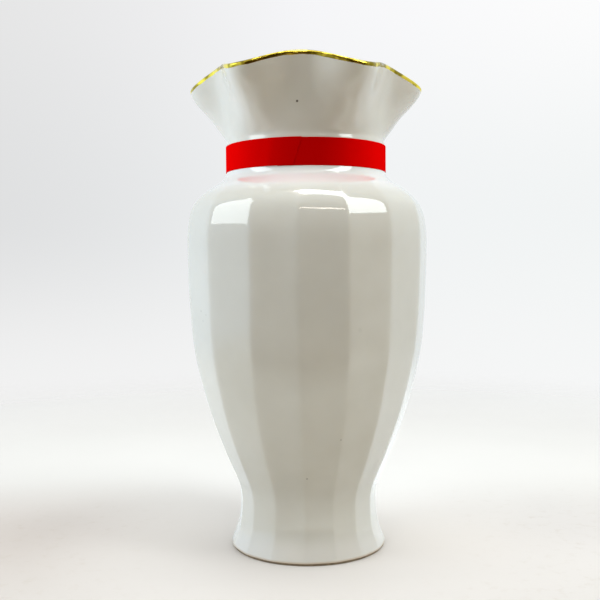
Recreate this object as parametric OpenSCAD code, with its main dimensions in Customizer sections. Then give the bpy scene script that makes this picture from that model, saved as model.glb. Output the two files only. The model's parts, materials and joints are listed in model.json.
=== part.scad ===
// Porcelain vase: a sixteen-panelled baluster body, a ruffled trumpet mouth,
// a gilded lip, a red band round the neck and a bare ring under the foot.
// Millimetres, +Z up, origin at the centre of the foot on the surface it stands on.

/* [Body] */
// Number of flat panels round the body
panel_count = 16; // [10:2:24]
// Radius of the foot at a panel corner
foot_r = 40.8; // [38:0.1:43]
// Radius of the waist above the foot, at a panel corner
waist_r = 36; // [33:0.5:37.5]
// Widest radius of the body, at a panel corner
belly_r = 63.1; // [56:0.1:68]
// Height of the waist
waist_z = 23; // [20:1:28]
// Height of the widest place
belly_z = 154; // [146:1:160]
// Thickness of the porcelain wall
wall = 3.2; // [2.6:0.1:4]
// Thickness of the floor at its middle
floor_t = 4.5; // [3:0.5:7]

/* [Neck] */
// Outer radius of the neck
neck_r = 41.6; // [39:0.1:45]
// Height where the shoulder becomes the neck
neck_z = 195.6; // [193:0.1:198]
// Height of the joint between body and mouth, covered by the band
joint_z = 196.8; // [196.5:0.1:200]
// Height where the neck begins to flare
flare_z = 209.8; // [209.3:0.1:213]

/* [Mouth] */
// Number of ruffles round the mouth
ruffle_count = 6; // [4:1:9]
// Widest radius of the wall in the middle of a ruffle, just below its lip
ruffle_r = 60.7; // [56:0.1:62]
// Height of the lip in the middle of a ruffle
ruffle_z = 239.6; // [236:0.1:243]
// How far a ruffle's lip turns back inwards from its widest place
lip_tuck = 0.2; // [0:0.1:1.5]
// How far the wall narrows just above the band before it flares
neck_nip = 0.5; // [0:0.1:0.8]
// Radius of the lip at a pinch between two ruffles
pinch_r = 49.8; // [46:0.1:54]
// Height of the lip at a pinch between two ruffles
pinch_z = 244.8; // [243:0.1:250]
// How sharply the ruffles stand out: 1 is an even wave
ruffle_sharpness = 1.35; // [1:0.05:1.8]
// Turn of the ruffles from the panel corners, in degrees
ruffle_turn = 1.4; // [-11:0.1:11]
// Extra height of the lip at the front, where the rim stands highest
front_rise = 2; // [0:0.5:4]
// How much lower the lip hangs at the two sides
side_sag = 1.9; // [0:0.1:3]
// How much lower still the lip hangs at the right than at the left
right_fall = 0.4; // [0:0.1:1.5]
// Thickness of the lip
lip_t = 2.8; // [2:0.1:3.4]

/* [Gilding] */
// Thickness of the gold on the lip
gilt_t = 0.2; // [0.15:0.05:0.4]

/* [Band] */
// Width of the red band
band_w = 14; // [10:0.5:14]
// Height of the band's lower edge
band_z = 195.2; // [195:0.1:195.8]
// Thickness of one layer of the band
band_t = 0.3; // [0.2:0.05:0.6]
// Length over which the band's end lies on its start
band_overlap = 12; // [6:0.5:20]
// How far the band's cut end leans across its width
band_lean = 4.3; // [0:0.1:6]
// How far right of the front the cut end's upper corner lies
band_end = 1; // [-5:0.5:5]

/* [Foot] */
// Height of the bare ring that the vase stands on
ring_h = 1.2; // [0.8:0.1:2]
// Radial width of the bare ring
ring_w = 4.4; // [3:0.2:6]
// How far the bare ring is set in from the glaze
ring_inset = 0.5; // [0.3:0.1:1]
// Height of the hollow under the floor
recess_h = 4; // [2.5:0.5:6]

/* [Hidden] */

porcelain = "white";
gold = "gold";
band_red = "crimson";
bare_clay = "tan";

front = -90;
body_sides = panel_count * 3;
mouth_sides = ruffle_count * 12;
span_steps = 2;
panel_fade_low = 174;
panel_fade_high = 192;
foot_fade_z = 14;
foot_flatness = 0.4;
throat_r = neck_r - wall;
// The body's opening is a little wider than the throat that is joined to it
collar_r = throat_r + 0.4;
floor_z = recess_h + floor_t;
floor_round = 7;
ring_round = 0.35;
mouth_levels = 12;
nip_h = 2;
lip_steps = 4;
lip_flatness = 0.8;
small = 0.01;
seat = 0.05;
round_fn = 96;

// ---- Small helpers ----

function mix(a, b, t) = a + (b - a) * t;

function ease(x, low, high) =
    let (t = min(1, max(0, (x - low) / (high - low))))
    t * t * (3 - 2 * t);

function span_point(a, b, c, d, t) =
    0.5 * (2 * b + (c - a) * t + (2 * a - 5 * b + 4 * c - d) * t * t
        + (3 * b - a - 3 * c + d) * t * t * t);

// Point of a smooth curve through the stations p, at t from 0 to 1
function curve_point(p, t) =
    let (
        last = len(p) - 1,
        i = min(last - 1, floor(t * last)),
        before = i > 0 ? p[i - 1] : 2 * p[0] - p[1],
        after = i < last - 1 ? p[i + 2] : 2 * p[last] - p[last - 1]
    )
    span_point(before, p[i], p[i + 1], after, t * last - i);

// Normal of a curve in the radius and height plane, pointing outwards
function curve_normal(p, t) =
    let (d = curve_point(p, min(1, t + small)) - curve_point(p, max(0, t - small)))
    [d[1], -d[0]] / norm(d);

// Triangles between rings of n points, joined up each ring and round each ring
function ring_faces(rings, n) = [
    for (i = [0 : rings - 2], j = [0 : n - 1])
        let (a = i * n + j, b = i * n + (j + 1) % n)
        each [[a, a + n, b], [b, a + n, b + n]]
];

// ---- Body ----

// Radius and height between the waist and the belly
function swell(r_part, z_part) =
    [mix(waist_r, belly_r, r_part), mix(waist_z, belly_z, z_part)];

// Radius and height between the belly and the neck
function shoulder(r_part, z_part) =
    [mix(neck_r, belly_r, r_part), mix(belly_z, neck_z, z_part)];

body_stations = [
    [foot_r, ring_h],
    [mix(waist_r, foot_r, 0.25), waist_z / 2],
    [waist_r, waist_z],
    swell(0.03, 0.07),
    swell(0.14, 0.13),
    swell(0.31, 0.21),
    swell(0.54, 0.335),
    swell(0.72, 0.46),
    swell(0.89, 0.62),
    swell(0.97, 0.81),
    swell(1, 1),
    shoulder(0.99, 0.29),
    shoulder(0.89, 0.54),
    shoulder(0.72, 0.67),
    shoulder(0.44, 0.79),
    shoulder(0.11, 0.89),
    shoulder(0.01, 0.95),
    [neck_r, neck_z]
];

body_spans = len(body_stations) - 1;
body_levels = [for (k = [0 : body_spans * span_steps]) k / (body_spans * span_steps)];

// How flat the panels are at height z: 0 is round, 1 is flat
function flatness(z) =
    mix(foot_flatness, 1, ease(z, ring_h, foot_fade_z))
        * (1 - ease(z, panel_fade_low, panel_fade_high));

// Radius at an angle for a corner radius r, with corners at 0, 360 / panel_count, ...
function panel_r(r, angle, flat) =
    let (
        half = 180 / panel_count,
        across = angle % (2 * half) - half
    )
    r * mix(1, cos(half) / cos(across), flat);

function body_ring(level) =
    let (p = curve_point(body_stations, level))
    [for (j = [0 : body_sides - 1])
        let (
            turn = j * 360 / body_sides,
            r = panel_r(p[0], turn, flatness(p[1]))
        )
        [r * cos(turn + front), r * sin(turn + front), p[1]]];

module body_outside() {
    rings = len(body_levels);
    points = [for (level = body_levels) each body_ring(level)];
    bottom = [for (j = [0 : body_sides - 1]) j];
    top = [for (j = [body_sides - 1 : -1 : 0]) (rings - 1) * body_sides + j];
    polyhedron(points, concat([bottom], ring_faces(rings, body_sides), [top]));
}

// Inner wall, a constant thickness inside the flats of the panels
function inner_point(level) =
    let (
        p = curve_point(body_stations, level),
        flat_r = p[0] * mix(1, cos(180 / panel_count), flatness(p[1]))
    )
    [flat_r, p[1]] - wall * curve_normal(body_stations, level);

module body_cavity() {
    inner = [for (level = body_levels) inner_point(level)];
    side = [for (p = inner)
        if (p[1] > floor_z + floor_round && (p[1] < belly_z || p[0] > collar_r + small)) p];
    corner_r = side[0][0] - floor_round;
    corner = [for (a = [-90 : 15 : -15])
        [corner_r + floor_round * cos(a), floor_z + floor_round * (1 + sin(a))]];
    rotate_extrude($fn = round_fn)
        polygon(concat(
            [[0, floor_z]],
            corner,
            side,
            [[collar_r, neck_z], [collar_r, joint_z + 1], [0, joint_z + 1]]
        ));
}

module foot_recess() {
    low_r = foot_r - ring_inset - ring_w;
    rotate_extrude($fn = round_fn)
        polygon([
            [0, 0],
            [low_r, 0],
            [low_r, ring_h],
            [low_r - 1, recess_h * 0.8],
            [low_r - 5, recess_h],
            [0, recess_h]
        ]);
}

module fluted_body() {
    color(porcelain)
    difference() {
        union() {
            body_outside();
            translate([0, 0, panel_fade_high])
                cylinder(r = neck_r, h = joint_z - panel_fade_high, $fn = round_fn);
        }
        body_cavity();
        foot_recess();
    }
}

// ---- Mouth ----

// Outside of the wall in the middle of a ruffle, from the top of the neck to the lip
function ruffle(r_part, z_part) =
    [mix(neck_r, ruffle_r, r_part), mix(flare_z, ruffle_z, z_part)];

ruffle_stations = [
    [neck_r, flare_z - nip_h],
    [neck_r, flare_z],
    [neck_r - neck_nip, flare_z + nip_h],
    ruffle(0.19, 0.27),
    ruffle(0.46, 0.52),
    ruffle(0.76, 0.74),
    ruffle(0.94, 0.91),
    [ruffle_r - lip_tuck, ruffle_z]
];

// Outside of the wall at a pinch between two ruffles
function pinch(r_part, z_part) =
    [mix(neck_r, pinch_r, r_part), mix(flare_z, pinch_z, z_part)];

pinch_stations = [
    [neck_r, flare_z - nip_h],
    [neck_r, flare_z],
    [neck_r - neck_nip, flare_z + nip_h],
    pinch(0.14, 0.27),
    pinch(0.4, 0.52),
    pinch(0.68, 0.75),
    pinch(0.87, 0.9),
    [pinch_r, pinch_z]
];
flare_start = 1 / (len(ruffle_stations) - 1);

// Share of ruffle, against pinch, at a turn from the front
function ruffle_share(turn) =
    pow(0.5 - 0.5 * cos(ruffle_count * (turn - ruffle_turn)), ruffle_sharpness);

// How far the lip at a turn from the front stands above an even one
function lip_rise(turn) =
    front_rise * cos(turn) - side_sag * pow(sin(turn), 2) - right_fall * sin(turn);

// Stations of the wall's outer face at a turn from the front
function mouth_stations(turn) = [
    for (i = [0 : len(ruffle_stations) - 1])
        let (
            p = mix(pinch_stations[i], ruffle_stations[i], ruffle_share(turn)),
            up = ease(p[1], flare_z, pinch_z)
        )
        [p[0], p[1] + up * lip_rise(turn)]
];

// How far up the curve of the wall a level is: 0 at the flare, 1 at the lip
function flare_t(k) = mix(flare_start, 1, k / mouth_levels);

// The lip is rounded off: a point at angle a of its half-oval section
function lip_point(stations, half_t, a) =
    let (
        n = curve_normal(stations, 1),
        along = [-n[1], n[0]],
        centre = curve_point(stations, 1) - lip_t / 2 * n
    )
    centre + half_t * (cos(a) * n + lip_flatness * sin(a) * along);

lip_angles = [for (k = [0 : lip_steps]) k * 180 / lip_steps];

// Section of the flared wall as [radius, height] points: up the outside, over the
// lip and down the inside, where the throat stays straight behind the nip. Its foot
// stands within the top face of the neck.
function mouth_section(turn) =
    let (p = mouth_stations(turn))
    concat(
        [[neck_r - seat, flare_z]],
        [for (k = [1 : mouth_levels - 1]) curve_point(p, flare_t(k))],
        [for (a = lip_angles) lip_point(p, lip_t / 2, a)],
        [for (k = [mouth_levels - 1 : -1 : 2])
            let (
                t = flare_t(k),
                inner = curve_point(p, t) - mix(wall, lip_t, t) * curve_normal(p, t)
            )
            [max(throat_r + seat, inner[0]), inner[1]]],
        [[throat_r + seat, flare_z]]
    );

function around(turn, p) = [p[0] * cos(turn + front), p[0] * sin(turn + front), p[1]];

// A closed ring: the same section at every turn, with its points joined in a loop
module ring_of_sections(sections, turns) {
    n = len(sections[0]);
    count = len(sections);
    points = [for (i = [0 : count - 1]) each [for (p = sections[i]) around(turns[i], p)]];
    faces = [
        for (i = [0 : count - 1], j = [0 : n - 1])
            let (
                next_i = (i + 1) % count,
                next_j = (j + 1) % n,
                a = i * n + j,
                b = i * n + next_j,
                c = next_i * n + j,
                d = next_i * n + next_j
            )
            each [[a, b, c], [b, d, c]]
    ];
    polyhedron(points, faces);
}

mouth_turns = [for (i = [0 : mouth_sides - 1]) i * 360 / mouth_sides];

module ruffled_mouth() {
    color(porcelain)
    union() {
        translate([0, 0, joint_z])
            difference() {
                cylinder(r = neck_r, h = flare_z - joint_z, $fn = round_fn);
                translate([0, 0, -1])
                    cylinder(r = throat_r, h = flare_z - joint_z + 2, $fn = round_fn);
            }
        ring_of_sections([for (turn = mouth_turns) mouth_section(turn)], mouth_turns);
    }
}

// ---- Gilding ----

// Section of the gold: the lip's own points, and the same points moved outwards
function gilt_section(turn) =
    let (p = mouth_stations(turn))
    concat(
        [for (a = lip_angles) lip_point(p, lip_t / 2 + gilt_t, a)],
        [for (k = [lip_steps : -1 : 0]) lip_point(p, lip_t / 2, lip_angles[k])]
    );

module gilt_rim() {
    color(gold)
    ring_of_sections([for (turn = mouth_turns) gilt_section(turn)], mouth_turns);
}

// ---- Band ----

// The place at the front where the strip lies double, ending in a slanting cut
module overlap_zone() {
    rotate([90, 0, 0])
        linear_extrude(height = 2 * neck_r)
            polygon([
                [band_end - band_overlap - band_lean, 0],
                [band_end - band_lean, 0],
                [band_end, band_w],
                [band_end - band_overlap, band_w]
            ]);
}

module neck_band() {
    color(band_red)
    translate([0, 0, band_z])
        difference() {
            union() {
                cylinder(r = neck_r + band_t, h = band_w, $fn = round_fn);
                intersection() {
                    cylinder(r = neck_r + 2 * band_t, h = band_w, $fn = round_fn);
                    overlap_zone();
                }
            }
            translate([0, 0, -1])
                cylinder(r = neck_r, h = band_w + 2, $fn = round_fn);
        }
}

// ---- Foot ----

module foot_ring() {
    outer_r = foot_r - ring_inset;
    inner_r = outer_r - ring_w;
    color(bare_clay)
    rotate_extrude($fn = round_fn)
        polygon([
            [inner_r + ring_round, 0],
            [outer_r - ring_round, 0],
            [outer_r, ring_round],
            [outer_r, ring_h],
            [inner_r, ring_h],
            [inner_r, ring_round]
        ]);
}

fluted_body();
ruffled_mouth();
gilt_rim();
neck_band();
foot_ring();
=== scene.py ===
"""Porcelain vase: sixteen flat panels, ruffled and gilded mouth, red band round the neck."""
import json
import math

import bpy
import numpy as np
from mathutils import Matrix, Vector, noise


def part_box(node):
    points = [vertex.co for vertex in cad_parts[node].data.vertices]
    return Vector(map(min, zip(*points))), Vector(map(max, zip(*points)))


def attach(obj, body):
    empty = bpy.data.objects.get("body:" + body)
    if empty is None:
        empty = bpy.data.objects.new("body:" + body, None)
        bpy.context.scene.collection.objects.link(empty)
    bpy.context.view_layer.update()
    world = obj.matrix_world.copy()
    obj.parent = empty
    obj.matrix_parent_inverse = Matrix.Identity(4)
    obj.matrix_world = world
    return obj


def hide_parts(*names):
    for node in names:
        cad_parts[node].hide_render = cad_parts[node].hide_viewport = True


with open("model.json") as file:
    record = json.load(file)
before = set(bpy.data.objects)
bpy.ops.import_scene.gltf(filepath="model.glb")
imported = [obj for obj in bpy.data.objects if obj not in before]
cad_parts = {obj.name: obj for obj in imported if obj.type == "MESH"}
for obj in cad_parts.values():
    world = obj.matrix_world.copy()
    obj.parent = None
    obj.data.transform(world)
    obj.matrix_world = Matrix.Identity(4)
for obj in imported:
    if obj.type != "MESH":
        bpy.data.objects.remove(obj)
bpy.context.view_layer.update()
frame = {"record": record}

MM = 0.001

# ---- Places and sizes, from the frame ----

BODY_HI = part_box("fluted_body")[1]
BAND_LO, BAND_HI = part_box("neck_band")
RING_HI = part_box("foot_ring")[1]
THROAT = next(m for m in frame["record"]["mounts"] if m["name"] == "throat")

PANELS = 16
RUFFLES = 6
FRONT = -math.pi / 2                 # the direction that the front faces
BELLY_R = BODY_HI.x
JOINT_Z = BODY_HI.z
THROAT_R = THROAT["dims"]["r_mm"] * MM
WALL = 3.2 * MM
NECK_R = THROAT_R + WALL
NECK_Z = JOINT_Z - 1.2 * MM
FLARE_Z = THROAT["pos_m"][2] + THROAT["dims"]["length_mm"] / 2 * MM
RING_R = RING_HI.x
RING_TOP = RING_HI.z
FOOT_R = RING_R + 0.5 * MM
WAIST_R = 36 * MM
WAIST_Z = 23 * MM
BELLY_Z = 154 * MM
RING_W = 4.4 * MM
RECESS_Z = 4 * MM
FLOOR_Z = 8.5 * MM
BAND_W = BAND_HI.z - BAND_LO.z

# ---- Small helpers ----


def mix(a, b, t):
    return a + (b - a) * t


def ease(x, low, high):
    t = np.clip((x - low) / (high - low), 0, 1)
    return t * t * (3 - 2 * t)


def smooth_curve(stations, steps):
    """Points of a smooth curve through the stations, `steps` to a span."""
    p = np.array(stations, dtype=float)
    p = np.vstack([2 * p[0] - p[1], p, 2 * p[-1] - p[-2]])
    t = (np.arange(steps) / steps)[:, None]
    spans = [
        0.5 * (2 * b + (c - a) * t + (2 * a - 5 * b + 4 * c - d) * t ** 2
               + (3 * b - a - 3 * c + d) * t ** 3)
        for a, b, c, d in zip(p[:-3], p[1:-2], p[2:-1], p[3:])
    ]
    return np.vstack([*spans, p[-2:-1]])


def arc_lengths(points):
    steps = np.linalg.norm(np.diff(points, axis=0), axis=1)
    return np.concatenate([[0], np.cumsum(steps)])


def even_points(points, count):
    """The same line as `count` points, evenly spaced along it."""
    s = arc_lengths(points)
    at = np.linspace(0, s[-1], count)
    return np.column_stack([np.interp(at, s, points[:, k]) for k in range(points.shape[1])])


def softened(points, passes):
    """The same line with small changes of curvature evened out; its ends stay."""
    p = points.copy()
    for _ in range(passes):
        p[1:-1] = 0.25 * p[:-2] + 0.5 * p[1:-1] + 0.25 * p[2:]
    return p


def normals_2d(points):
    """Unit normals, to the right of the way the line runs."""
    d = np.gradient(points, axis=0)
    d /= np.linalg.norm(d, axis=1)[:, None]
    return np.column_stack([d[:, 1], -d[:, 0]])


BUMP_R = 60 * MM                     # the radius at which a bump has its stated size


def wobble(turn, height, size, seed):
    """Smooth unevenness round the vase, about -1 to 1, with bumps of the given size."""
    r = BUMP_R / size
    at = Vector((math.cos(turn) * r + seed, math.sin(turn) * r, height / size))
    return noise.noise(at)


def make_object(name, vertices, faces):
    mesh = bpy.data.meshes.new(name)
    mesh.from_pydata([tuple(v) for v in vertices], [], faces)
    mesh.validate()
    mesh.update()
    obj = bpy.data.objects.new(name, mesh)
    bpy.context.scene.collection.objects.link(obj)
    return obj


def shade(obj, angle):
    """Smooth shading that breaks at edges sharper than the angle in degrees."""
    obj.data.shade_smooth()
    obj.data.set_sharp_from_angle(angle=math.radians(angle))


def turned_solid(name, rows, columns, closed):
    """A solid from rows of points round the axis. closed joins the last row to the first;
    otherwise the first and last rows are single points on the axis, given as 3-D points."""
    vertices, faces = [], []
    poles = []
    if not closed:
        poles = [rows[0], rows[-1]]
        rows = rows[1:-1]
    for row in rows:
        vertices.extend(row)
    count = len(rows)
    for i in range(count if closed else count - 1):
        a, b = i * columns, (i + 1) % count * columns
        for j in range(columns):
            k = (j + 1) % columns
            faces.append((a + j, a + k, b + k, b + j))
    if poles:
        first, last = len(vertices), len(vertices) + 1
        vertices.extend(poles)
        top = (count - 1) * columns
        for j in range(columns):
            k = (j + 1) % columns
            faces.append((first, k, j))
            faces.append((last, top + j, top + k))
    return make_object(name, vertices, faces)


# ---- Materials ----


class NodeTree:
    """Short ways to build the nodes of a material or of the world."""

    def __init__(self, owner):
        owner.use_nodes = True
        self.tree = owner.node_tree

    def add(self, kind, **settings):
        node = self.tree.nodes.new(kind)
        for key, value in settings.items():
            setattr(node, key, value)
        return node

    def link(self, source, target):
        self.tree.links.new(source, target)

    def fill(self, socket, value):
        """Give a socket a colour, a number or another node's output."""
        if isinstance(value, tuple):
            socket.default_value = (*value, 1)
        elif isinstance(value, (int, float)):
            socket.default_value = value
        else:
            self.link(value, socket)

    def noise_at(self, where, scale, detail, roughness=0.5):
        node = self.add("ShaderNodeTexNoise")
        node.inputs["Scale"].default_value = scale
        node.inputs["Detail"].default_value = detail
        node.inputs["Roughness"].default_value = roughness
        self.link(where, node.inputs["Vector"])
        return node.outputs["Fac"]

    def ramp(self, value, stops, smooth=False):
        """Colour by value. stops holds places from 0 to 1, each with a colour or a grey."""
        node = self.add("ShaderNodeValToRGB")
        node.color_ramp.interpolation = "EASE" if smooth else "LINEAR"
        elements = node.color_ramp.elements
        while len(elements) < len(stops):
            elements.new(0.5)
        for element, (at, colour) in zip(elements, stops):
            element.position = at
            element.color = (*(colour if isinstance(colour, tuple) else (colour,) * 3), 1)
        self.link(value, node.inputs["Fac"])
        return node.outputs["Color"]

    def blend(self, share, a, b):
        """Colour a where share is 0 and colour b where it is 1."""
        node = self.add("ShaderNodeMix", data_type="RGBA")
        for socket, value in zip((node.inputs[0], node.inputs[6], node.inputs[7]), (share, a, b)):
            self.fill(socket, value)
        return node.outputs[2]

    def spread(self, value, low, high, first=0, last=1):
        """first where the value is low, last where it is high, smooth between."""
        node = self.add("ShaderNodeMapRange", interpolation_type="SMOOTHSTEP")
        node.inputs["From Min"].default_value = low
        node.inputs["From Max"].default_value = high
        node.inputs["To Min"].default_value = first
        node.inputs["To Max"].default_value = last
        self.link(value, node.inputs["Value"])
        return node.outputs["Result"]


class PieceNodes(NodeTree):
    """The nodes of a piece's own material, placed by the piece's coordinates."""

    def __init__(self, name):
        self.material = bpy.data.materials.new(name)
        super().__init__(self.material)
        self.shader = self.tree.nodes["Principled BSDF"]
        self.place = self.add("ShaderNodeTexCoord").outputs["Object"]

    def set(self, **sockets):
        for name, value in sockets.items():
            self.shader.inputs[name.replace("_", " ")].default_value = value

    def into(self, source, socket):
        self.link(source, self.shader.inputs[socket])

    def stretched(self, scale):
        node = self.add("ShaderNodeMapping")
        node.inputs["Scale"].default_value = scale
        self.link(self.place, node.inputs["Vector"])
        return node.outputs["Vector"]

    def noise(self, scale, detail, roughness=0.5):
        return self.noise_at(self.place, scale, detail, roughness)

    def times(self, value, factor):
        node = self.add("ShaderNodeMath", operation="MULTIPLY")
        self.link(value, node.inputs[0])
        node.inputs[1].default_value = factor
        return node.outputs[0]

    def bump(self, height, distance, strength, under=None):
        node = self.add("ShaderNodeBump")
        node.inputs["Distance"].default_value = distance
        node.inputs["Strength"].default_value = strength
        self.link(height, node.inputs["Height"])
        if under is not None:
            self.link(under, node.inputs["Normal"])
        return node.outputs["Normal"]

    def spot(self, centre, radius, soft):
        """1 within radius of a place on the piece, falling to 0 over soft."""
        offset = self.add("ShaderNodeVectorMath", operation="DISTANCE")
        self.link(self.place, offset.inputs[0])
        offset.inputs[1].default_value = centre
        return self.spread(offset.outputs["Value"], radius, radius + soft, 1, 0)

    def rising(self, low, high, top):
        """0 at the height low and top at the height high, smooth between."""
        height = self.add("ShaderNodeSeparateXYZ")
        self.link(self.place, height.inputs[0])
        return self.spread(height.outputs["Z"], low, high, 0, top)


def on_side(turn_deg, radius, height):
    """A place on the vase's side in mm, its turn counted from the front towards +X."""
    a = FRONT + math.radians(turn_deg)
    return (radius * MM * math.cos(a), radius * MM * math.sin(a), height * MM)


PINHOLE_TONE = (0.42, 0.34, 0.24)
SPECK_TONE = (0.06, 0.04, 0.03)


def porcelain(name, deep, light, tints_and_painted_light, specks):
    """White glaze clouded between two tones. Tints by height in mm, some of them painted light, each
    have where they start, where they are full, a strength and a colour. specks are dark marks, each
    a place, a size in mm and a strength."""
    n = PieceNodes(name)
    body = n.ramp(n.noise(28, detail=3, roughness=0.55), [(0.3, deep), (0.7, light)], smooth=True)
    pinholes = n.ramp(n.noise(900, detail=1, roughness=0.4), [(0.0, 0), (0.82, 0), (0.9, 1)])
    body = n.blend(n.times(pinholes, 0.35), body, PINHOLE_TONE)
    # some of these tints are painted light
    for start, full, strength, colour in tints_and_painted_light:
        body = n.blend(n.rising(start * MM, full * MM, strength), body, colour)
    for centre, size, strength in specks:
        reach = 0.6 * size * MM
        body = n.blend(n.times(n.spot(centre, reach, reach), strength), body, SPECK_TONE)
    n.into(body, "Base Color")
    n.into(n.ramp(n.noise(60, detail=2), [(0.3, 0.035), (0.75, 0.08)]), "Roughness")
    n.set(IOR=1.52, Coat_Weight=0.6, Coat_Roughness=0.02, Subsurface_Weight=0.12,
          Subsurface_Scale=0.003, Subsurface_Radius=(1.0, 0.8, 0.55))
    waves = n.bump(n.noise(45, detail=1.5, roughness=0.4), distance=0.25 * MM, strength=0.35)
    fine = n.bump(n.noise(420, detail=2), distance=0.02 * MM, strength=0.5, under=waves)
    n.into(fine, "Normal")
    return n.material


def gilding():
    """Bright gold with short dark lengths, painted reflections of dark surroundings."""
    n = PieceNodes("gilding")
    painted_dark_reflection, bright = (0.34, 0.26, 0.02), (0.98, 0.80, 0.10)
    # the dark lengths are painted reflections of the dark surroundings
    n.into(n.ramp(n.noise(130, detail=2), [(0.42, painted_dark_reflection), (0.54, bright)]), "Base Color")
    rough = n.ramp(n.noise(700, detail=3, roughness=0.6), [(0.3, 0.10), (0.8, 0.22)])
    n.into(rough, "Roughness")
    n.set(Metallic=1.0, IOR=1.5)
    brushed = n.bump(n.noise(120, detail=1, roughness=0.4), distance=2 * MM, strength=0.8)
    fine = n.bump(n.noise(600, detail=3, roughness=0.55), distance=0.05 * MM, strength=0.5,
                  under=brushed)
    n.into(fine, "Normal")
    return n.material


def red_band_with_painted_sheen():
    """Red strip with a painted sheen: paler where it turns away from the eye, and painted shade
    where it faces it.
    """
    n = PieceNodes("red_band_with_painted_sheen")
    sheen = n.add("ShaderNodeLayerWeight")
    sheen.inputs["Blend"].default_value = 0.5
    # painted sheen towards the edges and painted shade in the middle, by how the strip faces the eye
    red = n.ramp(sheen.outputs["Facing"], [
        (0.0, (0.53, 0.0003, 0.0003)), (0.17, (0.70, 0.0004, 0.0004)), (0.5, (0.82, 0.0006, 0.0006)),
    ])
    cloud = n.times(n.noise(70, detail=3), 0.12)
    n.into(n.blend(cloud, red, (0.50, 0.0002, 0.0002)), "Base Color")
    n.into(n.ramp(n.noise(300, detail=2), [(0.3, 0.40), (0.8, 0.52)]), "Roughness")
    n.set(IOR=1.4, Specular_IOR_Level=0.0)
    grain = n.noise_at(n.stretched((160, 160, 25)), 1, detail=3)
    pulled = n.bump(grain, distance=0.05 * MM, strength=0.6)
    fine = n.bump(n.noise(2500, detail=2), distance=0.01 * MM, strength=0.5, under=pulled)
    n.into(fine, "Normal")
    return n.material


def bare_clay():
    """Ground, unglazed clay with a few stains; its tones, stains too, are darkened as painted shade
    for the shadowed line under the foot.
    """
    n = PieceNodes("bare_clay")
    grain = n.noise(1400, detail=4, roughness=0.6)
    # the clay's tones are darkened as painted shade
    clay = n.ramp(grain, [
        (0.3, (0.20, 0.14, 0.09)), (0.55, (0.32, 0.25, 0.17)), (0.8, (0.42, 0.34, 0.25)),
    ])
    # stains, deepened as painted shade
    stains_and_painted_shade = n.ramp(n.noise(120, detail=3, roughness=0.6), [(0.45, 0), (0.7, 1)])
    n.into(n.blend(n.times(stains_and_painted_shade, 0.55), clay, (0.08, 0.055, 0.035)), "Base Color")
    n.into(n.ramp(grain, [(0.2, 0.75), (0.8, 0.95)]), "Roughness")
    n.into(n.bump(grain, distance=0.12 * MM, strength=0.8), "Normal")
    return n.material


# ---- Body ----


def swell(r_part, z_part):
    return (mix(WAIST_R, BELLY_R, r_part), mix(WAIST_Z, BELLY_Z, z_part))


def shoulder(r_part, z_part):
    return (mix(NECK_R, BELLY_R, r_part), mix(BELLY_Z, NECK_Z, z_part))


BODY_STATIONS = [
    (FOOT_R, RING_TOP),
    (mix(WAIST_R, FOOT_R, 0.25), WAIST_Z / 2),
    (WAIST_R, WAIST_Z),
    swell(0.03, 0.07),
    swell(0.14, 0.13),
    swell(0.31, 0.21),
    swell(0.54, 0.335),
    swell(0.72, 0.46),
    swell(0.89, 0.62),
    swell(0.97, 0.81),
    swell(1, 1),
    shoulder(0.99, 0.29),
    shoulder(0.89, 0.54),
    shoulder(0.72, 0.67),
    shoulder(0.44, 0.79),
    shoulder(0.11, 0.89),
    shoulder(0.01, 0.95),
    (NECK_R, NECK_Z),
]
HALF_PANEL = math.pi / PANELS
EDGE_CRISPNESS = 190                 # higher makes the panels' corners tighter
FOOT_FLATNESS = 0.4                  # how flat the panels are at the very foot, of 1
PANELS_FULL_Z = 14 * MM              # they are full from here
PANELS_FADE_Z = 174 * MM             # up to here
PANELS_END_Z = 192 * MM              # and gone here
COLUMNS_PER_PANEL = 16
CORNER_CROWDING = 0.85               # how much the columns gather at the panels' corners, of 1
PANEL_COLUMNS = PANELS * COLUMNS_PER_PANEL
PROFILE_ROWS = 190
INSIDE_STEP = 3                      # the cavity has every third row of the profile
CORNER_DRIFT = math.radians(1.5)
LOW_STRAY = math.radians(-40)        # where the drift is greatest, low on the body
HIGH_STRAY = math.radians(54)        # and at the belly
UNEVEN = 0.10                        # the body's broad unevenness, mm
FINE_UNEVEN = 0.05                   # and its finer unevenness, mm
INSET = 0.11                         # keeps the uneven side within the CAD's, mm
COLLAR_R = THROAT_R + 0.4 * MM       # the inside at the joint, just outside the throat
FLOOR_BEND_R = 7 * MM
FLOOR_BEND_TOP = 16 * MM             # the cavity's wall starts above this
AXIS_STEPS = 8                       # rows from the axis out to the floor's or recess's bend


def panel_turns():
    """Turns from the front, closer together near the panels' corners."""
    u = np.arange(COLUMNS_PER_PANEL) / COLUMNS_PER_PANEL * 2 - 1
    u = mix(u, np.sin(u * math.pi / 2), CORNER_CROWDING)
    return np.concatenate([HALF_PANEL * (u + 1) + 2 * HALF_PANEL * k for k in range(PANELS)])


def drift(turns, z):
    """How far the panels' corners stray from an even spacing, as on hand-finished ware."""
    high = ease(z, 55 * MM, 150 * MM)
    stray = mix(np.cos(3 * turns + LOW_STRAY), np.cos(3 * turns + HIGH_STRAY), high)
    return CORNER_DRIFT * stray


def panel_shape(turns):
    """Radius of a sixteen-sided outline with softened corners, 1 at the corners."""
    sides = HALF_PANEL + 2 * HALF_PANEL * np.arange(PANELS)
    reach = np.clip(np.cos(turns[:, None] - sides[None, :]), 0, 1)
    soft = (reach ** EDGE_CRISPNESS).sum(axis=1) ** (-1 / EDGE_CRISPNESS)
    return soft / soft.max()


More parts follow.
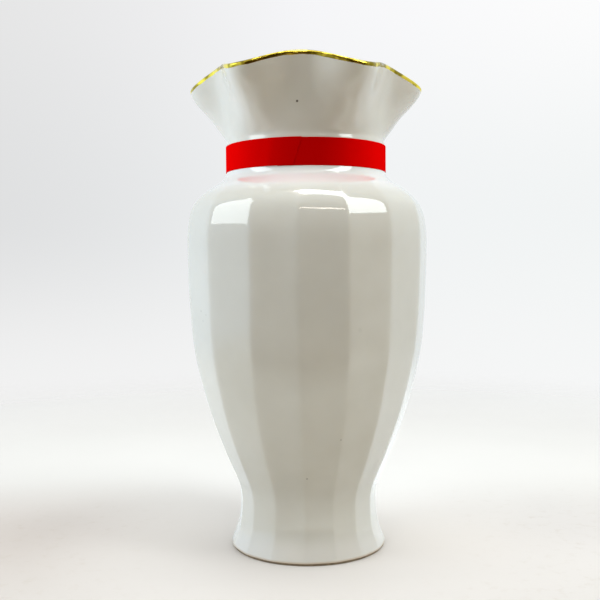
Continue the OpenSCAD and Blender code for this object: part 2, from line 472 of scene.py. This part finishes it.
def flatness(z):
    """How flat the panels are at a height: 0 at the round neck, 1 where they are full."""
    at_foot = mix(FOOT_FLATNESS, 1, ease(z, RING_TOP, PANELS_FULL_Z))
    return at_foot * (1 - ease(z, PANELS_FADE_Z, PANELS_END_Z))


def body_profile():
    return softened(even_points(smooth_curve(BODY_STATIONS, 24), PROFILE_ROWS), 8)


def inside_line(profile):
    """The cavity from the joint down the wall and round the bend to the floor."""
    flat_r = profile[:, 0] * mix(1, math.cos(HALF_PANEL), flatness(profile[:, 1]))
    inner = np.column_stack([flat_r, profile[:, 1]]) - WALL * normals_2d(profile)
    wall = inner[(inner[:, 1] > FLOOR_BEND_TOP)
                 & ((inner[:, 1] < BELLY_Z) | (inner[:, 0] > COLLAR_R))][::-INSIDE_STEP]
    bend = np.radians(np.arange(0, 91, 9))
    floor_r = wall[-1, 0] - FLOOR_BEND_R
    corner = np.column_stack([floor_r + FLOOR_BEND_R * np.cos(bend),
                              FLOOR_Z + FLOOR_BEND_R * (1 - np.sin(bend))])
    floor = [(floor_r * k / AXIS_STEPS, FLOOR_Z) for k in range(AXIS_STEPS - 1, 0, -1)]
    return [(COLLAR_R, JOINT_Z), (COLLAR_R, NECK_Z), *wall, *corner, *floor]


def underside_line():
    """The recess under the vase, from near the axis out to the bare ring."""
    low_r = RING_R - RING_W
    flat_steps = AXIS_STEPS - 2
    reach = low_r * (1 - flat_steps / AXIS_STEPS)
    bend = np.radians(np.arange(90, -1, -15))
    flat = [(low_r * k / AXIS_STEPS, RECESS_Z) for k in range(1, flat_steps + 1)]
    curve = [(low_r - reach + (reach - 0.6 * MM) * math.cos(b),
              RING_TOP + (RECESS_Z - RING_TOP) * math.sin(b)) for b in bend]
    return [*flat, *curve, (low_r, RING_TOP), (RING_R, RING_TOP)]


def body_rows():
    turns = panel_turns()
    shape = panel_shape(turns)

    def ring(radii, z):
        a = turns + drift(turns, z) + FRONT
        return np.column_stack([radii * np.cos(a), radii * np.sin(a), np.full(len(turns), z)])

    def round_ring(r, z):
        return ring(np.full(len(turns), r), z)

    profile = body_profile()
    outside = []
    for r, z in profile:
        radii = r * mix(1, shape, flatness(z))
        fade = ease(z, RING_TOP, 10 * MM) * (1 - ease(z, 190 * MM, NECK_Z))
        uneven = np.array([
            UNEVEN * wobble(t, z, size=0.028, seed=3)
            + FINE_UNEVEN * wobble(t, z, size=0.011, seed=9) for t in turns
        ])
        outside.append(ring(radii + (uneven - INSET) * fade * MM, z))
    outside.append(round_ring(NECK_R, JOINT_Z))
    inside = [round_ring(r, z) for r, z in inside_line(profile)]
    underside = [round_ring(r, z) for r, z in underside_line()]
    return [(0, 0, RECESS_Z), *underside, *outside, *inside, (0, 0, FLOOR_Z)]


def build_body(material):
    obj = turned_solid("vase_body", body_rows(), PANEL_COLUMNS, closed=False)
    shade(obj, 50)
    obj.data.materials.append(material)
    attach(obj, "root")
    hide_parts("fluted_body")


# ---- Mouth ----

RUFFLE_R = 60.7 * MM
RUFFLE_Z = 239.6 * MM
LIP_TUCK = 0.2 * MM                  # how far the ruffles turn back in at the lip
NIP = 0.5 * MM                       # how far the neck narrows just above the band
NIP_H = 2 * MM
PINCH_R = 49.8 * MM
PINCH_Z = 244.8 * MM
RUFFLE_SHARPNESS = 1.35
RUFFLE_TURN = math.radians(1.4)
FRONT_RISE = 2 * MM                  # the lip is this much higher at the front, lower at the back,
SIDE_SAG = 1.9 * MM                  # lower at both sides
RIGHT_FALL = 0.4 * MM                # and lower at the right than in the middle
LIP_T = 2.8 * MM
LIP_FLATNESS = 0.8                   # the lip's height as a share of a half round
MOUTH_UNEVEN = 0.12 * MM
MOUTH_COLUMNS = 360
MOUTH_ROWS = 84
LIP_ROWS = 16


def neck_stations():
    """The straight neck under the band, and the nip above it."""
    return [
        (NECK_R, JOINT_Z),
        (NECK_R, mix(JOINT_Z, FLARE_Z - NIP_H, 0.5)),
        (NECK_R, FLARE_Z - NIP_H),
        (NECK_R, FLARE_Z),
        (NECK_R - NIP, FLARE_Z + NIP_H),
    ]


def flare_stations(lip_r, lip_z, tuck, parts):
    """The neck and a flare, whose parts are shares of the way out and up to its lip."""
    flare = [(mix(NECK_R, lip_r, r), mix(FLARE_Z, lip_z, z)) for r, z in parts]
    return np.array([*neck_stations(), *flare, (lip_r - tuck, lip_z)])


RUFFLE_STATIONS = flare_stations(RUFFLE_R, RUFFLE_Z, LIP_TUCK, [
    (0.19, 0.27), (0.46, 0.52), (0.76, 0.74), (0.94, 0.91),
])
PINCH_STATIONS = flare_stations(PINCH_R, PINCH_Z, 0, [
    (0.14, 0.27), (0.4, 0.52), (0.68, 0.75), (0.87, 0.9),
])


def lip_rise(turn):
    """How much higher than its mean the lip is at a turn from the front."""
    return FRONT_RISE * math.cos(turn) - SIDE_SAG * math.sin(turn) ** 2 - RIGHT_FALL * math.sin(turn)


def mouth_section(turn):
    """Section of the mouth's wall at a turn from the front, as radius and height:
    up the outside, over the lip and down the inside, with its outward normals."""
    # how far this turn is from a pinch towards the middle of a ruffle, 0 to 1
    share = (0.5 - 0.5 * math.cos(RUFFLES * (turn - RUFFLE_TURN))) ** RUFFLE_SHARPNESS
    stations = mix(PINCH_STATIONS, RUFFLE_STATIONS, share)
    stations[:, 1] += ease(stations[:, 1], FLARE_Z, PINCH_Z) * lip_rise(turn)
    outer = softened(even_points(smooth_curve(stations, 20), MOUTH_ROWS), 5)
    n = normals_2d(outer)
    up = np.linspace(0, 1, MOUTH_ROWS)
    uneven = np.array([wobble(turn, z, size=0.018, seed=21) for z in outer[:, 1]])
    outer = outer + n * (MOUTH_UNEVEN * uneven * ease(outer[:, 1], FLARE_Z, 225 * MM))[:, None]
    inner = outer - n * mix(WALL, LIP_T, up)[:, None]
    inner[:, 0] = np.maximum(inner[:, 0], THROAT_R)
    tip, way = n[-1], np.array([-n[-1][1], n[-1][0]])
    centre = outer[-1] - tip * LIP_T / 2
    a = np.linspace(0, math.pi, LIP_ROWS)[1:-1, None]
    lip = centre + LIP_T / 2 * (np.cos(a) * tip + LIP_FLATNESS * np.sin(a) * way)
    section = np.vstack([outer, lip, inner[::-1]])
    facing = np.vstack([n, np.cos(a) * tip + np.sin(a) * way, -n[::-1]])
    return section, facing


def around(turn, points):
    a = turn + FRONT
    return np.column_stack([points[:, 0] * math.cos(a), points[:, 0] * math.sin(a), points[:, 1]])


def mouth_turns():
    return np.arange(MOUTH_COLUMNS) * 2 * math.pi / MOUTH_COLUMNS


def build_mouth(material):
    columns = [around(t, mouth_section(t)[0]) for t in mouth_turns()]
    rows = list(np.swapaxes(np.array(columns), 0, 1))
    obj = turned_solid("vase_mouth", rows, MOUTH_COLUMNS, closed=True)
    shade(obj, 50)
    obj.data.materials.append(material)
    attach(obj, "root")
    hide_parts("ruffled_mouth")


# ---- Gilding ----

GILT_RISE = 0.09 * MM
GILT_SINK = 0.05 * MM
GILT_ROWS = 26


def build_gilding(material):
    columns = []
    for t in mouth_turns():
        section, facing = mouth_section(t)
        s = arc_lengths(section)
        lip_start = s[MOUTH_ROWS - 1]
        lip_end = s[MOUTH_ROWS + LIP_ROWS - 2]
        outer_reach = (0.8 + 0.35 * wobble(t, 0, size=0.006, seed=40)) * MM
        inner_reach = (1.1 + 0.4 * wobble(t, 0, size=0.008, seed=60)) * MM
        at = np.linspace(lip_start - outer_reach, lip_end + inner_reach, GILT_ROWS)
        line = np.column_stack([np.interp(at, s, section[:, k]) for k in (0, 1)])
        out = np.column_stack([np.interp(at, s, facing[:, k]) for k in (0, 1)])
        out /= np.linalg.norm(out, axis=1)[:, None]
        thin = np.sin(np.linspace(0, math.pi, GILT_ROWS)) ** 0.35
        top = line + out * (GILT_RISE * thin)[:, None]
        under = line - out * GILT_SINK
        columns.append(around(t, np.vstack([top, under[::-1]])))
    rows = list(np.swapaxes(np.array(columns), 0, 1))
    obj = turned_solid("gilded_lip", rows, MOUTH_COLUMNS, closed=True)
    shade(obj, 60)
    obj.data.materials.append(material)
    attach(obj, "root")
    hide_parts("gilt_rim")


# ---- Band ----

BAND_T = 0.28 * MM
BAND_GAP = 0.01 * MM
OVERLAP = 12 * MM
END_X = 1 * MM                       # the cut end's upper corner, right of the front
END_LEAN = 4.3 * MM
CLIMB = 8 * MM                       # the strip climbs onto its start from this far before it
CLIMB_END = 0.3 * MM                 # to this far before it
LEAN_RUN = 4 * OVERLAP               # the last stretch, in which the end's lean comes in
BAND_SLACK = 0.25 * MM               # how far the strip may stray up and down
BAND_WAVE = 0.12 * MM
BAND_COLUMNS = 420


def band_section():
    """Section of the strip as depth from its inner face and height from its middle."""
    edge = BAND_T / 2
    a = np.radians(np.arange(-90, 91, 22.5))
    half = BAND_W / 2 - edge
    side = np.linspace(-half, half, 24)[1:-1]
    top = [(edge + edge * math.sin(b), half + edge * math.cos(b)) for b in a]
    face = [(BAND_T, z) for z in side[::-1]]
    low = [(edge + edge * math.sin(-b), -half - edge * math.cos(b)) for b in a]
    back = [(0, z) for z in side]
    return np.array(top + face + low + back)


def build_band(material):
    section = band_section()
    middle = (BAND_LO.z + BAND_HI.z) / 2
    length = 2 * math.pi * NECK_R + OVERLAP
    start = (END_X - OVERLAP) / NECK_R
    vertices, faces = [], []
    n = len(section)
    for i in range(BAND_COLUMNS + 1):
        s = length * i / BAND_COLUMNS
        lifted = ease(s, length - OVERLAP - CLIMB, length - OVERLAP - CLIMB_END)
        end_share = ease(s, length - LEAN_RUN, length)
        for depth, height in section:
            across = height / BAND_W - 0.5
            turn = start + (s + END_LEAN * across * end_share) / NECK_R + FRONT
            lift = mix(-0.5, 0.35, ease(s, 0, length)) * BAND_SLACK
            wave = BAND_WAVE * wobble(turn, 0, size=0.03, seed=80)
            r = NECK_R + BAND_GAP + depth + lifted * (BAND_T + BAND_GAP)
            z = middle + height * (1 - 2 * BAND_SLACK / BAND_W) + lift + wave
            vertices.append((r * math.cos(turn), r * math.sin(turn), z))
    for i in range(BAND_COLUMNS):
        for j in range(n):
            k = (j + 1) % n
            faces.append((i * n + j, i * n + k, (i + 1) * n + k, (i + 1) * n + j))
    faces.append(tuple(range(n - 1, -1, -1)))
    faces.append(tuple(BAND_COLUMNS * n + j for j in range(n)))
    obj = make_object("red_neck_band", vertices, faces)
    shade(obj, 35)
    obj.data.materials.append(material)
    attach(obj, "root")
    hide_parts("neck_band")


# ---- Foot ----

RING_SOFT = 0.4 * MM                 # the ring's rounded edges
CHIP = 0.05 * MM


def build_foot_ring(material):
    low_r = RING_R - RING_W
    soft = RING_SOFT
    bend = np.radians(np.arange(0, 91, 15))
    outer = [(RING_R - soft + soft * math.cos(b), soft - soft * math.sin(b)) for b in bend]
    inner = [(low_r + soft - soft * math.sin(b), soft - soft * math.cos(b)) for b in bend]
    flat = [(mix(outer[-1][0], inner[0][0], k / 6), 0) for k in range(1, 6)]
    line = [(low_r, RING_TOP), (RING_R, RING_TOP), *outer, *flat, *inner]
    rows = []
    for r, z in line:
        row = []
        for t in mouth_turns():
            chip = CHIP * wobble(t, r, size=0.003, seed=5) if RING_TOP > z > 0 else 0
            row.append(around(t, np.array([[r + chip, z]]))[0])
        rows.append(np.array(row))
    obj = turned_solid("bare_foot_ring", rows[::-1], MOUTH_COLUMNS, closed=True)
    shade(obj, 50)
    obj.data.materials.append(material)
    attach(obj, "root")
    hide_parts("foot_ring")


# ---- Studio ----

CAMERA_TURN = 4.0                    # degrees from the front towards +X
CAMERA_DISTANCE = 0.4565
CAMERA_HEIGHT = 0.1485
CAMERA_TILT = 2.45                   # degrees below level
CAMERA_YAW = 0.45                    # degrees left of the vase's axis
CAMERA_ROLL = 0.43                   # degrees clockwise
CAMERA_LENS = 51.7
LIGHT_AIM_Z = 0.17                   # the height that the lights point at
SURROUNDINGS = 0.84                  # brightness of the white surroundings
TABLE_EDGE = 0.20                    # where the table ends towards the camera
TABLE_EDGE_SOFT = 0.07
TABLE_FADE = 0.25                    # where it starts to melt into the backdrop
TABLE_REACH = 0.75                   # and where it is gone


def build_camera():
    data = bpy.data.cameras.new("camera")
    data.lens = CAMERA_LENS
    data.sensor_width = 36
    data.clip_start = 0.01
    data.clip_end = 50
    obj = bpy.data.objects.new("camera", data)
    bpy.context.scene.collection.objects.link(obj)
    a = FRONT + math.radians(CAMERA_TURN)
    obj.location = (CAMERA_DISTANCE * math.cos(a), CAMERA_DISTANCE * math.sin(a), CAMERA_HEIGHT)
    heading = math.radians(CAMERA_TURN + CAMERA_YAW)
    level = math.radians(90 - CAMERA_TILT)
    turn = Matrix.Rotation(heading, 4, "Z") @ Matrix.Rotation(level, 4, "X")
    roll = Matrix.Rotation(math.radians(-CAMERA_ROLL), 4, "Z")
    obj.rotation_mode = "QUATERNION"
    obj.rotation_quaternion = (turn @ roll).to_quaternion()
    bpy.context.scene.camera = obj


def aim(obj, place, target):
    obj.location = place
    way = Vector(target) - Vector(place)
    obj.rotation_mode = "QUATERNION"
    obj.rotation_quaternion = way.to_track_quat("-Z", "Y")


def area_light(name, azimuth, elevation, distance, width, height, power, colour):
    """A soft light, its azimuth counted from the camera's side towards +X."""
    data = bpy.data.lights.new(name, "AREA")
    data.shape = "RECTANGLE"
    data.size, data.size_y = width, height
    data.energy = power
    data.color = colour
    obj = bpy.data.objects.new(name, data)
    bpy.context.scene.collection.objects.link(obj)
    target = Vector((0, 0, LIGHT_AIM_Z))
    a = FRONT + math.radians(CAMERA_TURN + azimuth)
    e = math.radians(elevation)
    way = Vector((math.cos(a) * math.cos(e), math.sin(a) * math.cos(e), math.sin(e)))
    aim(obj, target + way * distance, target)


class StudioNodes(NodeTree):
    """The nodes of the table or of the world, built from nothing."""

    def __init__(self, owner):
        super().__init__(owner)
        self.tree.nodes.clear()

    def along(self, where, way):
        """How far a place lies along a direction."""
        node = self.add("ShaderNodeVectorMath", operation="DOT_PRODUCT")
        self.link(where, node.inputs[0])
        node.inputs[1].default_value = way
        return node.outputs["Value"]

    def choose(self, share, first, second):
        """The first shader where share is 0 and the second where it is 1."""
        node = self.add("ShaderNodeMixShader")
        self.link(share, node.inputs[0])
        self.link(first, node.inputs[1])
        self.link(second, node.inputs[2])
        return node.outputs[0]


def level_way(turn_deg):
    """A level direction, its turn counted from the camera's side towards +X."""
    a = FRONT + math.radians(CAMERA_TURN + turn_deg)
    return (math.cos(a), math.sin(a), 0)


def build_world():
    """White surroundings that are dark and warm towards the camera, with a backdrop whose tones are
    painted shade, darker at the left.
    """
    world = bpy.data.worlds.new("studio")
    bpy.context.scene.world = world
    t = StudioNodes(world)
    where = t.add("ShaderNodeTexCoord").outputs["Generated"]
    toward = t.spread(t.along(where, level_way(12)), -1, 1)
    lit = t.ramp(toward, [
        (0.0, (1.00, 1.06, 1.08)), (0.5, (0.92, 0.98, 0.98)), (0.69, (0.72, 0.73, 0.70)),
        (0.84, (0.69, 0.66, 0.59)), (0.94, (0.60, 0.55, 0.45)), (0.97, (0.20, 0.15, 0.09)),
        (0.99, (0.09, 0.05, 0.02)), (1.0, (0.07, 0.04, 0.01)),
    ])
    left = t.spread(t.along(where, level_way(-90)), 0.45, 1.0)
    lit = t.blend(left, lit, (1.20, 1.40, 1.58))
    overhead = t.spread(t.along(where, (0, 0, 1)), 0.55, 0.95)
    lit = t.blend(overhead, lit, (0.78, 0.75, 0.68))
    light = t.add("ShaderNodeBackground")
    t.link(lit, light.inputs["Color"])
    light.inputs["Strength"].default_value = SURROUNDINGS

    # the backdrop's tones are painted shade: darker at the left and at mid height
    across = t.spread(t.along(where, level_way(90)), -0.45, 0.45)
    level = t.ramp(across, [
        (0.0, (0.73, 0.735, 0.74)), (0.5, (0.87, 0.89, 0.90)), (1.0, (0.89, 0.91, 0.91)),
    ])
    high = t.ramp(across, [(0.0, 0.78), (0.5, (0.92, 0.92, 0.94)), (1.0, 0.99)])
    low = t.ramp(across, [(0.0, 0.88), (1.0, (0.92, 0.93, 0.93))])
    height = t.along(where, (0, 0, 1))
    backdrop_with_painted_shade = t.blend(t.spread(height, 0.05, 0.32), level, high)
    backdrop_with_painted_shade = t.blend(t.spread(height, 0.06, -0.14), backdrop_with_painted_shade, low)
    backdrop = t.add("ShaderNodeBackground")
    t.link(backdrop_with_painted_shade, backdrop.inputs["Color"])
    seen = t.add("ShaderNodeLightPath").outputs["Is Camera Ray"]
    t.link(t.choose(seen, light.outputs[0], backdrop.outputs[0]),
           t.add("ShaderNodeOutputWorld").inputs["Surface"])


def seen_paint(t, where, forward, distance):
    """The table's paint, with painted light and shade: paler behind the vase, darker in front as
    painted shade, most of all at the left where a painted shadow lies, and paler beside the foot as
    painted light.
    """
    patches = t.noise_at(where, 5, detail=4)
    back = t.ramp(patches, [(0.3, (0.72, 0.695, 0.68)), (0.7, (0.76, 0.735, 0.72))])
    front_right = t.ramp(patches, [(0.3, (0.66, 0.62, 0.61)), (0.7, (0.715, 0.675, 0.655))])
    # painted shadow at the front left
    front_left_painted_shadow = t.ramp(patches, [(0.3, (0.53, 0.475, 0.445)), (0.7, (0.595, 0.53, 0.50))])
    to_right = t.spread(t.along(where, level_way(90)), -0.16, 0.0)
    front = t.blend(to_right, front_left_painted_shadow, front_right)
    # painted shade: darker towards the camera
    front = t.blend(t.spread(forward, 0.0, 0.14), front, (0.59, 0.55, 0.525))
    grain = t.noise_at(where, 130, detail=6, roughness=0.65)
    front = t.blend(t.spread(grain, 0.5, 1.1), front, (0.42, 0.34, 0.26))
    # painted light: paler beside the foot
    painted_light_beside_foot = t.blend(t.spread(forward, 0.0, 0.06), (0.76, 0.71, 0.68), (0.66, 0.615, 0.59))
    front = t.blend(t.spread(distance, 0.05, 0.16), painted_light_beside_foot, front)
    return t.blend(t.spread(forward, -0.15, 0.0), back, front)


def reflected_paint(t, forward):
    """What the vase sees of the table: painted shade just in front of the vase, paler further out,
    and the table ends in a dark floor towards the camera.
    """
    # painted shade: darker just in front of the vase
    paint = t.blend(t.spread(forward, -0.03, 0.06), (0.90, 0.91, 0.93), (0.50, 0.46, 0.40))
    paint = t.blend(t.spread(forward, 0.10, 0.17), paint, (0.80, 0.77, 0.70))
    past_edge = t.spread(forward, TABLE_EDGE - TABLE_EDGE_SOFT, TABLE_EDGE + TABLE_EDGE_SOFT)
    return t.blend(past_edge, paint, (0.20, 0.14, 0.08))


def pale_table():
    """Pale paint that melts into the backdrop far off."""
    material = bpy.data.materials.new("pale_table")
    t = StudioNodes(material)
    where = t.add("ShaderNodeTexCoord").outputs["Object"]
    forward = t.along(where, level_way(0))
    far = t.add("ShaderNodeVectorMath", operation="LENGTH")
    t.link(where, far.inputs[0])
    distance = far.outputs["Value"]
    seen = t.add("ShaderNodeLightPath").outputs["Is Camera Ray"]
    colour = t.blend(seen, reflected_paint(t, forward), seen_paint(t, where, forward, distance))
    surface = t.add("ShaderNodeBsdfPrincipled")
    surface.inputs["Roughness"].default_value = 0.5
    surface.inputs["Specular IOR Level"].default_value = 0.3
    t.link(colour, surface.inputs["Base Color"])
    clear = t.add("ShaderNodeBsdfTransparent")
    gone = t.spread(distance, TABLE_FADE, TABLE_REACH)
    t.link(t.choose(gone, surface.outputs[0], clear.outputs[0]),
           t.add("ShaderNodeOutputMaterial").inputs["Surface"])
    return material


def build_table():
    obj = make_object("table", [(x * TABLE_REACH, y * TABLE_REACH, 0)
                                for x, y in ((-1, -1), (1, -1), (1, 1), (-1, 1))], [(0, 1, 2, 3)])
    obj.data.materials.append(pale_table())


def build_lights():
    cool, warm, amber = (0.90, 0.98, 1.0), (1.0, 0.93, 0.82), (1.0, 0.82, 0.66)
    area_light("left_softbox", azimuth=-75, elevation=32, distance=1.0,
               width=0.45, height=0.70, power=3.6, colour=cool)
    area_light("right_softbox", azimuth=62, elevation=61, distance=1.0,
               width=0.36, height=1.60, power=11.0, colour=cool)
    area_light("front_tube", azimuth=12, elevation=32, distance=1.2,
               width=0.55, height=0.03, power=0.5, colour=warm)
    area_light("front_overhead", azimuth=10, elevation=83, distance=1.1,
               width=0.60, height=0.42, power=0.8, colour=amber)


def look():
    settings = bpy.context.scene.view_settings
    settings.view_transform = "Standard"
    settings.look = "None"


build_camera()
build_world()
build_lights()
build_table()
look()

BODY_TINTS_AND_PAINTED_LIGHT = [
    (182, 189, 0.9, (0.84, 0.84, 0.83)),        # painted light: paler in the hollow under the neck
    (16, 5, 0.6, (0.72, 0.69, 0.66)),           # paler towards the foot, below 16 mm
    (2.3, 1.2, 0.7, (0.50, 0.36, 0.22)),        # its thin tan edge
]
WHITE_GLAZE = porcelain("white_glaze", (0.650, 0.628, 0.574), (0.685, 0.667, 0.617), BODY_TINTS_AND_PAINTED_LIGHT, [
    (on_side(3.3, 41.1, 43.5), 0.35, 0.8),
    (on_side(22.8, 49.4, 63.7), 0.3, 0.7),
    (on_side(-54.9, 61.1, 125.2), 0.6, 0.25),
    (on_side(-53.3, 60.9, 120.4), 0.5, 0.25),
    (on_side(-49.3, 61.4, 123.5), 0.5, 0.2),
    (on_side(28, 60.8, 117.1), 1.2, 0.05),
])
# the mouth's glaze is paler than the body's: painted light on the flare
MOUTH_GLAZE_PAINTED_PALER = porcelain("mouth_glaze_painted_paler", (0.710, 0.680, 0.615), (0.745, 0.722, 0.658), [], [
    (on_side(-1.1, 44.1, 225.4), 0.6, 0.9),
])
build_body(WHITE_GLAZE)
build_mouth(MOUTH_GLAZE_PAINTED_PALER)
build_gilding(gilding())
build_band(red_band_with_painted_sheen())
build_foot_ring(bare_clay())

bpy.context.view_layer.update()
